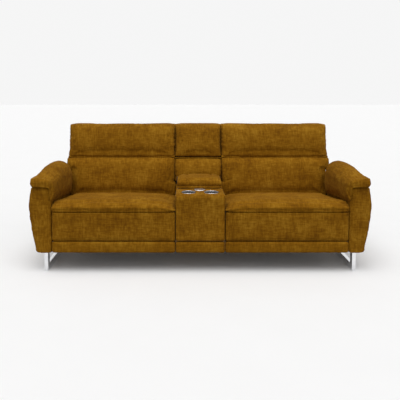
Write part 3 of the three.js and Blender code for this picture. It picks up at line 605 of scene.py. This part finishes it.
def on_both_sides(make, piece, body, replaced, fill=None):
    """Makes the left piece and its mirror image. A % in a name stands for the side."""
    left = make(piece.replace("%", "left"))
    right = mirrored(left, piece.replace("%", "right"))
    for side, obj in zip(SIDES, (left, right)):
        old = [name.replace("%", side) for name in replaced]
        placed(obj, body.replace("%", side), "upholstery", *old, fill=fill)


ARM_INNER = 0.972  # the arms' inner faces
ARM_TOP = 0.570  # where the arm pad lies on the arm box
FRONT_LINE = -0.4385  # where the seat cushion's front meets the footrest's
SEAT_INNER = 0.1635
SEAT_OUTER = 0.9700
BACK_INNER = 0.1771
BACK_LEAN = 0.1786  # how far the backs lean rearward per metre of height
LEAN_FROM = 0.3  # the height at which planes that lean with the backs have their stated place
CRISP = 0.002  # for ends that hardly keep any rounding
beside_console = level_line((0.470, -0.1640), (0.504, -BACK_INNER))
beside_arm = level_line((0.588, -0.9706), (0.604, -0.9990))

# (height, place) of the arm's outer side
ARM_BULGE = [
    (0.133, -1.084), (0.183, -1.095), (0.243, -1.106), (0.356, -1.122), (0.446, -1.128), (0.552, -1.110),
]


def leaning(z, place):
    """Where a plane that leans with the backs is at height z."""
    return BACK_LEAN * (z - LEAN_FROM) + place


def arm_box(name):
    """The arm below its pad, with a seam a little behind its front face."""
    front, foot = -0.433, 0.1335

    def face_border(p):
        return np.where(p[:, Z] > 0.15, np.abs(p[:, Y] - (front + 0.030)), FAR)

    def rests(p):
        return (p[:, Z] > ARM_TOP - 0.004) | (p[:, X] > -ARM_INNER - 0.004) | (p[:, Z] < 0.140)

    return upholstered(
        name, "arm_box_left", voxel=0.009, rounds=8, pressure=2.5, cap=0.008,
        grow=((0.009, 0.002, 0), (0, 0, 0)),
        low=(None, front - 0.002, foot), high=(-ARM_INNER, None, ARM_TOP), held=rests,
        reach=[(X, -1, curve_line(*ARM_BULGE), 0.07, (CRISP, 0.012))],
        seams=[(face_border, 0.0025, 0.005)], seed=2,
    )


NOSE_TOP = 0.627  # top of the arm pad's front panel
NOSE_MIDDLE, NOSE_HALF = -1.037, 0.070  # the panel's middle and half width
NOSE_REAR, NOSE_EASE = -0.34, 0.07  # where the panel's form ends towards the rear, and how gently
NOSE_SLICES = 24
NOSE_SQUARE = 0.5  # 0 leaves its corner round, 1 makes it square


def nose_shaped(obj):
    """Raises the arm pad's front end into an upright panel, squarer at its outer corner."""
    places = coords(obj)
    x, y, z = places.T
    front = eased(np.clip((NOSE_REAR - y) / NOSE_EASE, 0, 1))
    edges = np.linspace(-0.452, -0.33, NOSE_SLICES + 1)
    level = np.digitize(y, edges)
    tops = [z[level == k].max() if np.any(level == k) else NOSE_TOP for k in range(1, NOSE_SLICES + 1)]
    top = np.interp(y, (edges[1:] + edges[:-1]) / 2, tops)
    wanted = np.maximum(top, NOSE_TOP)
    upper = (z > ARM_TOP) & (x < -ARM_INNER + 0.04)
    grown = ARM_TOP + (z - ARM_TOP) * (1 + front * ((wanted - ARM_TOP) / (top - ARM_TOP) - 1))
    z = np.where(upper, grown, z)
    half = (wanted - ARM_TOP) / 2
    u, v = (NOSE_MIDDLE - x) / NOSE_HALF, (z - ARM_TOP - half) / half
    corner = upper & (u > 0.05) & (v > 0.05)
    square = 1 + NOSE_SQUARE * front * (np.hypot(u, v) / np.maximum(np.maximum(u, v), 1e-6) - 1)
    x = np.where(corner, NOSE_MIDDLE - u * square * NOSE_HALF, x)
    z = np.where(corner, ARM_TOP + half + v * square * half, z)
    set_coords(obj, np.stack([x, y, z], 1))
    return obj


def arm_pad(name):
    """The pad over the arm, which hangs down inside it, with a seam along its front panel's top."""
    def nose_border(p):
        near = np.hypot(p[:, Y] + 0.441, p[:, Z] - (NOSE_TOP - 0.007))
        return np.where(p[:, X] < -0.985, near, FAR)

    def rests(p):
        on_top = (p[:, Z] < ARM_TOP + 0.004) & (p[:, X] < -ARM_INNER)
        on_side = (p[:, Z] < ARM_TOP) & (p[:, X] < 0.003 - ARM_INNER)
        return on_top | on_side

    obj = upholstered(
        name, "arm_pad_left", voxel=0.007, rounds=4, pressure=4.0, cap=0.016,
        grow=((0, 0.002, 0.006), (0.002, 0.010, 0.004)), held=rests, rumple=0.002, seed=3,
    )
    nose_shaped(obj)
    return creased(obj, nose_border(coords(obj)), 0.006, 0.006)


# How much lower the seat lies, at distances from its side at the console
SEAT_DROP = [(0, 0.040), (0.02, 0.026), (0.06, 0.016), (0.12, 0.010), (0.22, 0.006), (0.5, 0.004)]


def flush(obj, first, last):
    """Brings the rounded edge between two heights out to the line where seat and footrest meet."""
    places = coords(obj)
    edge = (places[:, Z] > first) & (places[:, Z] < last) & (places[:, Y] < FRONT_LINE + 0.008)
    places[edge, Y] = FRONT_LINE
    set_coords(obj, places)
    return obj


def seat_cushion(name):
    """The seat, which is crowned and drops towards the console."""
    foot = 0.412
    obj = upholstered(
        name, "seat_cushion_left", voxel=0.008, rounds=4, pressure=5.0, cap=0.020,
        grow=((0.001, 0.002, 0.0), (0.001, 0.004, 0.004)),
        low=(-SEAT_OUTER, -0.441, 0.4052), high=(-SEAT_INNER, 0.096, None),
        held=lambda p: p[:, Z] < 0.418, reach=[
            (X, 1, level_line((0, -SEAT_INNER)), 0.03, (CRISP, 0.02)),
            (X, -1, level_line((0, -SEAT_OUTER)), 0.03, (CRISP, 0.02)),
            (Y, -1, level_line((0.405, FRONT_LINE), (0.43, FRONT_LINE)), 0.03, (CRISP, 0.05)),
        ],
        rumple=0.0018, seed=4,
    )
    places = coords(obj)
    drop = np.interp(-SEAT_INNER - places[:, X], *zip(*SEAT_DROP))
    places[:, Z] -= drop * np.clip((places[:, Z] - foot) / 0.05, 0, 1)
    set_coords(obj, places)
    return flush(obj, 0.400, 0.4090)


def lumbar(name):
    """The back's lower cushion, with a seam near its side at the arm."""
    def side_border(p):
        return np.where(p[:, Y] < 0.17, np.abs(p[:, X] + 0.950), FAR)

    def rests(p):
        return (p[:, Y] > leaning(p[:, Z], 0.25)) | (p[:, Z] < 0.424) | (p[:, Z] > 0.677)

    obj = upholstered(
        name, "lumbar_cushion_left", voxel=0.008, rounds=3, pressure=4.5, cap=0.016,
        grow=((0, 0.004, 0.013), (0, 0, 0.006)), held=rests, high=(-0.1636, None, None), reach=[
            (X, 1, beside_console, 0.05, (CRISP, 0.004)),
            (X, -1, beside_arm, 0.05, (CRISP, 0.004)),
        ],
        seams=[(side_border, 0.003, 0.006)], rumple=0.0018, seed=5,
    )
    # the whole edge stays clear of the console's back, past which it swings
    places = coords(obj)
    places[:, X] = np.minimum(places[:, X], beside_console(places[:, Z]))
    set_coords(obj, places)
    return obj


def straight_to_foot(obj, first, last, ease):
    """Runs a cushion's front straight down from height last to its foot at first.

    The foot itself lies back by ease.
    """
    places = coords(obj)
    line = places[np.abs(places[:, Z] - last) < 0.004, Y].min()
    levels, values = (first, first + 0.010, last), (line + ease, line + ease * 0.3, line)
    return reached(obj, Y, -1, lambda z: np.interp(z, levels, values, right=np.nan), 0.06, (1e-6, 1e-6))


def headrest(name):
    """The back's upper cushion, with a seam near its side at the arm."""
    def side_border(p):
        return np.where(p[:, Y] < 0.25, np.abs(p[:, X] + 0.974), FAR)

    def rests(p):
        return (p[:, Y] > leaning(p[:, Z], 0.249)) | (p[:, Z] < 0.702)

    obj = upholstered(
        name, "headrest_cushion_left", voxel=0.008, rounds=2, pressure=3.5, cap=0.012,
        grow=((0.001, 0.002, 0.010), (0, 0, 0.001)), held=rests, high=(-BACK_INNER, None, None), reach=[
            (X, 1, level_line((0, -BACK_INNER)), 0.05, (CRISP, 0.007)),
            (X, -1, level_line((0.69, -0.992), (0.94, -0.985)), 0.05, (CRISP, 0.007)),
        ],
        seams=[(side_border, 0.002, 0.005)], rumple=0.0016, seed=6,
    )
    return straight_to_foot(obj, 0.690, 0.740, 0.006)


def footrest_pad(name):
    """The footrest's pad, which forms the seat's front when it is folded in."""
    obj = upholstered(
        name, "footrest_pad_left", voxel=0.006, rounds=2, pressure=3.0, cap=0.006,
        grow=((0.0065, 0.002, 0.003), (0.006, 0, 0.0025)),
        high=(None, -0.4028, 0.4048), held=lambda p: (p[:, Y] > -0.4055) | (p[:, Z] > 0.397),
        reach=[(Y, -1, level_line((0.375, FRONT_LINE)), 0.02, (0.17, CRISP))], rumple=0.0010, seed=8,
    )
    return flush(obj, 0.4010, 0.4100)


def valance(name):
    """The covered rail below the footrest."""
    return upholstered(
        name, "valance_left", voxel=0.006, rounds=1, pressure=0,
        grow=((0.002, 0.001, 0), (0.0015, 0, 0.0015)),
        high=(None, -0.4002, None), rumple=0.0008, seed=9,
    )


on_both_sides(arm_box, "arm_cover_%", "root", ["arm_box_%"])
on_both_sides(arm_pad, "arm_cushion_%", "root", ["arm_pad_%"], fill=0.6)
on_both_sides(seat_cushion, "seat_%", "root", ["seat_cushion_%"], fill=0.7)
on_both_sides(lumbar, "lumbar_%", "back_%", ["lumbar_cushion_%"], fill=0.65)
on_both_sides(headrest, "headrest_%", "headrest_%", ["headrest_cushion_%"], fill=0.65)
on_both_sides(footrest_pad, "footrest_cushion_%", "footrest_%", ["footrest_pad_%"], fill=0.7)
on_both_sides(valance, "valance_cover_%", "root", ["valance_%"], fill=0.8)


# The console, and the covers at the rear
CONSOLE_SIDE = 0.161
DECK_TOP = 0.518
CUPS = {"left": (-0.076, -0.335), "right": (0.076, -0.335)}
DISC = (0.0, -0.250)
FLANGE = 0.049  # radius of a cup holder's rim
DISC_RADIUS = 0.039
CENTRE_BACK = 0.1769  # half the width of the centre back
CENTRE_ENDS = [(X, side, level_line((0, side * CENTRE_BACK)), 0.05, (CRISP, 0.007)) for side in (1, -1)]
LID_BOARD_SIDE, LID_BOARD_FRONT = 0.1543, -0.1925  # just off the board


def console_wrap(name):
    """Front and deck in one cover that rolls over the front edge, sunk round the cups and the disc."""
    obj = remeshed(from_cad(name, "console_front", "console_deck"), 0.004)
    relaxed(obj, 14)
    # the roll over the front edge
    centre_y, centre_z, radius = -0.405, 0.490, 0.028
    places = coords(obj)
    forward, up = centre_y - places[:, Y], places[:, Z] - centre_z
    away = np.hypot(forward, up)
    corner = (forward > 0) & (up > 0) & (away > radius)
    places[corner, Y] = centre_y - forward[corner] / away[corner] * radius
    places[corner, Z] = centre_z + up[corner] / away[corner] * radius
    set_coords(obj, places)
    subdivided(obj)
    rumpled(obj, 0.12, 0.0010, 11)
    # the beds of the cups and of the disc, a little wider than they are
    bed, ease = DECK_TOP - 0.0038, 0.0045
    places = coords(obj)
    top = places[:, Z] > DECK_TOP - 0.009
    for (x, y), edge in [(CUPS["left"], FLANGE), (CUPS["right"], FLANGE), (DISC, DISC_RADIUS)]:
        away = np.hypot(places[:, X] - x, places[:, Y] - y)
        sunk = top & (away < edge + ease)
        places[sunk, Z] = np.minimum(places[sunk, Z], bed)
    set_coords(obj, places)
    kept_inside(obj, (-CONSOLE_SIDE, -0.436, 0.2093), (CONSOLE_SIDE, None, 0.5195))
    return smooth_shaded(obj)


def lid_cushion(name):
    """The pad, in a cover that also wraps the board's front and side edges."""
    def long_seams(p):
        return np.where(p[:, Z] > 0.545, np.abs(np.abs(p[:, X]) - 0.085), FAR)

    obj = upholstered(
        name, "lid_pad", voxel=0.006, rounds=3, pressure=4.0, cap=0.010,
        grow=((0.0016, 0, 0), (0.0016, 0.002, 0.002)),
        low=(None, None, 0.5317), held=lambda p: p[:, Z] < 0.535,
        seams=[(long_seams, 0.0022, 0.004)], rumple=0.0010, seed=12,
    )
    places = coords(obj)
    past_board = (np.abs(places[:, X]) > LID_BOARD_SIDE) | (places[:, Y] < LID_BOARD_FRONT)
    places[past_board & (places[:, Z] < 0.5340), Z] = 0.5199
    set_coords(obj, places)
    return obj


def centre_cushion(name, source, foot, rise, seed):
    """One of the centre back's two cushions. It is held below its foot, and its top may rise a little."""
    return upholstered(
        name, source, voxel=0.007, rounds=3, pressure=4.0, cap=0.010, grow=(NONE, (0, 0, rise)),
        held=lambda p: (p[:, Y] > leaning(p[:, Z], 0.257)) | (p[:, Z] < foot), reach=CENTRE_ENDS,
        low=(-CENTRE_BACK, None, None), high=(CENTRE_BACK, None, None), rumple=0.0010, seed=seed,
    )


def smooth_cover(name, source, reach=(), voxel=0.005, rounds=3):
    """A taut cover close over the CAD form. reach lists what reached() gets."""
    obj = relaxed(remeshed(from_cad(name, source), voxel), rounds)
    for where in reach:
        reached(obj, *where)
    return smooth_shaded(rumpled(subdivided(obj), 0.14, 0.0006, 15))


def hinge_caps(name):
    """Moulded plates in front of the lid hinge's two ends."""
    return boxes(
        name,
        ((-0.1618, 0.0492, 0.5068), (-0.1562, 0.0512, 0.5540)),
        ((0.1562, 0.0492, 0.5068), (0.1618, 0.0512, 0.5540)),
    )


def centre_crease(name):
    """The fold of cover between the centre back's two cushions."""
    return boxes(name, ((-0.1766, 0.1780, 0.6780), (0.1766, 0.3000, 0.6826)))


def lid_facing(name):
    """The strip of cover round the front and side edges of the lid's board."""
    low, high, side, front, rear = 0.5198, 0.5316, 0.1553, -0.2048, 0.0500
    return boxes(
        name,
        ((-side, front, low), (side, LID_BOARD_FRONT, high)),
        ((-side, LID_BOARD_FRONT, low), (-LID_BOARD_SIDE, rear, high)),
        ((LID_BOARD_SIDE, LID_BOARD_FRONT, low), (side, rear, high)),
        ((-side, front, high), (side, -0.1500, high + 0.0010)),
    )


def console_sides(name):
    """Cover on the console's two sides and their rims, cut out round each control panel."""
    skins = [
        ((0.1613, -0.4000, 0.1345), (0.1621, 0.2620, 0.4610)),
        ((0.1613, -0.4000, 0.4610), (0.1634, -0.3408, 0.5050)),
        ((0.1613, -0.2472, 0.4610), (0.1621, 0.2620, 0.5066)),
        ((0.1550, -0.2050, 0.5058), (0.1613, 0.0480, 0.5066)),
    ]
    other_side = [((-far, y0, z0), (-near, y1, z1)) for (near, y0, z0), (far, y1, z1) in skins]
    return boxes(name, *skins, *other_side)


def spread(ends, count):
    """Evenly spaced places between two ends."""
    return [ends[0] + (ends[1] - ends[0]) * k / (count - 1) for k in range(count)]


def neck_gusset(name):
    """The fold of cover between the lumbar and the headrest, in front of the headrest's rod."""
    section = [(0.1790, 0.6835), (0.1745, 0.6865), (0.1740, 0.6900), (0.1755, 0.6940), (0.1800, 0.6975)]
    thickness, count = 0.0012, 25
    places, faces = [], []
    for x in spread((-0.987, -0.1774), count):
        places += [(x, y, z) for y, z in section] + [(x, y + thickness, z) for y, z in reversed(section)]
    ring = 2 * len(section)
    for k in range(count - 1):
        for i in range(ring):
            j = (i + 1) % ring
            faces.append([k * ring + i, k * ring + j, (k + 1) * ring + j, (k + 1) * ring + i])
    faces.append(list(range(ring)))
    faces.append([(count - 1) * ring + i for i in reversed(range(ring))])
    return smooth_shaded(mesh_object(name, places, faces))


def rear_covers(name):
    """Cover over the backs of the two seat bases and of the console."""
    near, far = 0.2624, 0.2634
    return boxes(
        name,
        ((-0.9710, near, 0.1345), (-0.1640, far, 0.2795)),
        ((0.1640, near, 0.1345), (0.9710, far, 0.2795)),
        ((-0.1628, near, 0.1345), (0.1628, far, 0.5050)),
    )


# (Y, Z) of the skirts from a back's foot down to the base
SKIRT = [
    (0.3625, 0.3920), (0.3600, 0.3700), (0.3480, 0.3420), (0.3260, 0.3160), (0.2990, 0.2930),
    (0.2760, 0.2720), (0.2655, 0.2500), (0.2645, 0.2250),
]
CENTRE_SKIRT = [(0.3790, 0.5050), (0.3720, 0.4650), (0.3650, 0.4250)] + SKIRT
CENTRE_SKIRT_HALF = CENTRE_BACK - 0.0013


def back_skirt(name, path, ends, count):
    """The loose cover between a back's foot and the base.

    count is the number of vertices across.
    """
    places = [(x, y, z) for y, z in path for x in spread(ends, count)]
    faces = []
    for r in range(len(path) - 1):
        for k in range(count - 1):
            here = r * count + k
            faces.append([here, here + 1, here + count + 1, here + count])
    obj = mesh_object(name, places, faces)
    step = obj.modifiers.new("Thickness", "SOLIDIFY")
    step.thickness = 0.0014
    step.offset = 0
    return smooth_shaded(rumpled(subdivided(baked(obj)), 0.09, 0.0016, 17))


def headrest_rear(name):
    """Cover over the back and the top edge of the headrest's steel plate, which leans with the back."""
    obj = boxes(
        name,
        ((-0.9112, 0.2583, 0.7150), (-0.2218, 0.2591, 0.9040)),
        ((-0.9112, 0.2530, 0.9004), (-0.2218, 0.2583, 0.9040)),
    )
    places = coords(obj)
    places[:, Y] = leaning(places[:, Z], places[:, Y])
    set_coords(obj, places)
    return obj


# Turned profiles, as (radius, height below the piece's top)
CUP_WELL = [
    (0.0, 0.0690), (0.0360, 0.0690), (0.0395, 0.0672), (0.0412, 0.0640), (0.0438, 0.0040), (0.0452, 0.0022),
    (0.0468, 0.0014),
]
CUP_RIM = [
    (0.0468, 0.0016), (0.0471, 0.0006), (0.0476, 0.0001), (0.0484, 0.0001), (0.0489, 0.0007),
    (0.0490, 0.0018), (0.0490, 0.0028), (0.0472, 0.0030), (0.0468, 0.0028),
]
DISC_SHAPE = [
    (0.0, 0.0), (0.0330, 0.0004), (0.0352, 0.0012), (0.0360, 0.0010), (0.0372, 0.0002), (0.0382, 0.0004),
    (0.0389, 0.0014), (0.0390, 0.0056), (0.0, 0.0056),
]
CUP_TOP, DISC_TOP = 0.5176, 0.5204


def turned(name, profile, centre, top, closed=True):
    """A lathed piece round an upright axis. A closed profile ends where it starts."""
    steps = 72
    places, faces = [], []
    for radius, below in profile:
        for k in range(steps):
            angle = 2 * math.pi * k / steps
            x, y = centre[X] + radius * math.cos(angle), centre[Y] + radius * math.sin(angle)
            places.append((x, y, top - below))
    rows = len(profile)
    for r in range(rows if closed else rows - 1):
        for k in range(steps):
            here, there = r * steps, (r + 1) % rows * steps
            faces.append([here + k, here + (k + 1) % steps, there + (k + 1) % steps, there + k])
    obj = mesh_object(name, places, faces)
    bm = bmesh.new()
    bm.from_mesh(obj.data)
    bmesh.ops.remove_doubles(bm, verts=bm.verts, dist=1e-6)
    bmesh.ops.recalc_face_normals(bm, faces=bm.faces)
    bm.to_mesh(obj.data)
    bm.free()
    return smooth_shaded(obj)


def cup_well(name, centre):
    """The moulded liner: its inside, its lip, and an outside one wall farther out."""
    wall, floor = 0.0012, 0.00072
    lip = (CUP_WELL[-1][0] + wall * 0.5, 0.0031)
    outside = [(radius + wall, below + floor) for radius, below in reversed(CUP_WELL[1:-1])]
    profile = [*CUP_WELL, lip, *outside, (0.0, CUP_WELL[0][1] + floor)]
    return turned(name, profile, centre, CUP_TOP, closed=False)


placed(console_wrap("console_cover"), "root", "upholstery", "console_front", "console_deck", fill=0.8)
placed(lid_cushion("lid_cushion"), "lid", "upholstery", "lid_pad", fill=0.7)
cushion = centre_cushion("console_lumbar_cushion", "console_lumbar", foot=0.509, rise=0, seed=13)
placed(cushion, "root", "upholstery", "console_lumbar", fill=0.65)
cushion = centre_cushion("console_headrest_cushion", "console_headrest", foot=0, rise=0.001, seed=14)
placed(cushion, "root", "upholstery", "console_headrest", fill=0.65)
placed(centre_crease("centre_crease"), "root", "upholstery")
placed(hinge_caps("hinge_caps"), "root", "black_plastic")
centre_shell = smooth_cover("console_back_cover", "console_back_shell", CENTRE_ENDS)
placed(centre_shell, "root", "upholstery", "console_back_shell")
placed(smooth_cover("console_valance_cover", "console_valance"), "root", "upholstery", "console_valance")
placed(lid_facing("lid_facing"), "lid", "upholstery")
placed(console_sides("console_side_cover"), "root", "upholstery")
for side in SIDES:
    rim = turned(f"cup_rim_{side}", CUP_RIM, CUPS[side], CUP_TOP)
    placed(rim, "root", "satin_steel", f"cup_holder_{side}")
    placed(cup_well(f"cup_well_{side}", CUPS[side]), "root", "black_plastic", f"cup_holder_{side}")
charging_pad = turned("charging_pad", DISC_SHAPE, DISC, DISC_TOP, closed=False)
placed(charging_pad, "root", "satin_steel", "charging_disc")
placed(rear_covers("rear_cover"), "root", "upholstery")
on_both_sides(headrest_rear, "headrest_rear_%", "headrest_%", [])
skirt = back_skirt("back_skirt_left", SKIRT, (-0.9640, -0.1776), 41)
centre_skirt = back_skirt("centre_skirt", CENTRE_SKIRT, (-CENTRE_SKIRT_HALF, CENTRE_SKIRT_HALF), 21)
placed(centre_skirt, "root", "upholstery")
for side, piece in zip(SIDES, (skirt, mirrored(skirt, "back_skirt_right"))):
    dressed(piece, "upholstery")
    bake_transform(piece)
neck = neck_gusset("neck_gusset_left")
for side, gusset in zip(SIDES, (neck, mirrored(neck, "neck_gusset_right"))):
    dressed(gusset, "upholstery")
    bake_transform(gusset)
for side in SIDES:
    sign = -1 if side == "left" else 1
    inner = (X, -sign, level_line((0, sign * BACK_INNER)), 0.02, (0.01, 0.01))
    shell = smooth_cover(f"back_cover_{side}", f"back_shell_{side}", [inner], voxel=0.0035, rounds=2)
    placed(shell, f"back_{side}", "upholstery", f"back_shell_{side}")


# Frame parts that keep their CAD shape
ROUNDED = {
    "sled_leg": 0.0020, "lid_board": 0.0010, "control_bezel": 0.0008, "recline_button": 0.0008,
    "return_button": 0.0008, "centre_foot": 0.0015, "lid_hinge": 0.0006,
}


def carried_over():
    """Gives every CAD node that still shows its finish, and breaks the sharp edges of some."""
    for part in frame["record"]["subparts"]:
        obj = nodes[part["node"]]
        for slot in obj.material_slots:
            slot.material = looks[part["material_slot"]]
        kind = part["node"].removesuffix("_left").removesuffix("_right")
        if kind in ROUNDED:
            step = obj.modifiers.new("Edges", "BEVEL")
            step.width = ROUNDED[kind]
            step.segments = 2
            step.limit_method = "ANGLE"
            step.angle_limit = math.radians(40)


carried_over()
